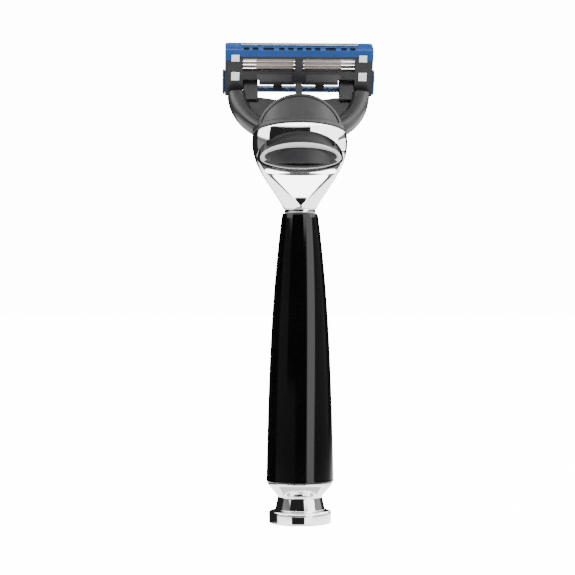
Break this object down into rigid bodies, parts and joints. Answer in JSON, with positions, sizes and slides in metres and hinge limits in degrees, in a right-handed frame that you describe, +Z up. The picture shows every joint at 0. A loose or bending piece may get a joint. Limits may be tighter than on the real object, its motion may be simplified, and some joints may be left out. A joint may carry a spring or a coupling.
{
  "type": "cartridge razor",
  "caption": "Shaving razor: tapered grip with a turned end cap, flared oval head with a thumb release button, and a pivoting multi-blade cartridge on a two-armed connector.",
  "frame": {"origin": "centre of the flat foot of the end cap", "axes": "+Z up the handle towards the blades, +Y towards the skin side, -Y towards the thumb button, +X across the blades"},
  "size_m": [0.042, 0.0219, 0.1309],
  "materials": {
    "grip": "high-gloss black cast resin",
    "rod": "bare steel",
    "chrome": "polished chrome plate",
    "washer": "matt black",
    "nose": "moulded, dark grey",
    "button": "satin dark grey moulding",
    "ejector": "moulded, mid grey",
    "spring": "drawn steel wire",
    "connector": "satin dark grey moulding",
    "housing": "moulded, near black",
    "guard": "blue elastomer",
    "strip": "waxy pale green strip",
    "clip": "bright rolled strip",
    "carrier": "blue moulding",
    "blade": "ground steel",
    "support": "satin rolled steel"
  },
  "bodies": {
    "handle": {"handle_grip": "grip", "core_rod": "rod", "end_cap": "chrome", "end_cap_washer": "washer", "neck_ring": "chrome", "neck_seal": "washer", "head_housing": "chrome", "nose_insert": "nose", "button_spring": "spring", "plunger_spring": "spring"},
    "button": {"release_button": "button", "ejector": "ejector"},
    "plunger": {"plunger": "nose"},
    "cartridge": {"connector": "connector"},
    "blade_unit": {"blade_housing": "housing", "guard_fins": "guard", "lube_strip": "strip", "blade_1": "blade", "blade_2": "blade", "blade_3": "blade", "blade_4": "blade", "blade_5": "blade", "blade_support_1": "support", "blade_support_2": "support", "blade_support_3": "support", "blade_support_4": "support", "blade_support_5": "support", "clip_left": "clip", "clip_right": "clip", "trimmer_carrier": "carrier", "trimmer_blade": "blade"}
  },
  "joints": [
    {"name": "button_slide", "type": "slide", "parent": "handle", "child": "button", "axis": [0, 0.4384, 0.8988], "range_m": [0, 0.0015], "stiffness_N_per_m": 400, "springref_m": -0.001, "deforming": ["button_spring"]},
    {"name": "plunger_slide", "type": "slide", "parent": "handle", "child": "plunger", "axis": [0, 0.4384, 0.8988], "range_m": [-0.0025, 0], "stiffness_N_per_m": 1, "springref_m": 0.001, "deforming": ["plunger_spring"]},
    {"name": "cartridge_release", "type": "slide", "parent": "handle", "child": "cartridge", "axis": [0, 0.4384, 0.8988], "range_m": [0, 0.016]},
    {"name": "blade_pivot", "type": "hinge", "parent": "cartridge", "child": "blade_unit", "pos_m": [0, 0.00919, 0.11973], "axis": [1, 0, 0], "range_deg": [0, 45], "stiffness_Nm_per_rad": 0.01, "springref_deg": -17.19}
  ],
  "couplings": [
    {"joint": "plunger_slide", "follows": "blade_pivot", "m_per_rad": -0.003055}
  ]
}
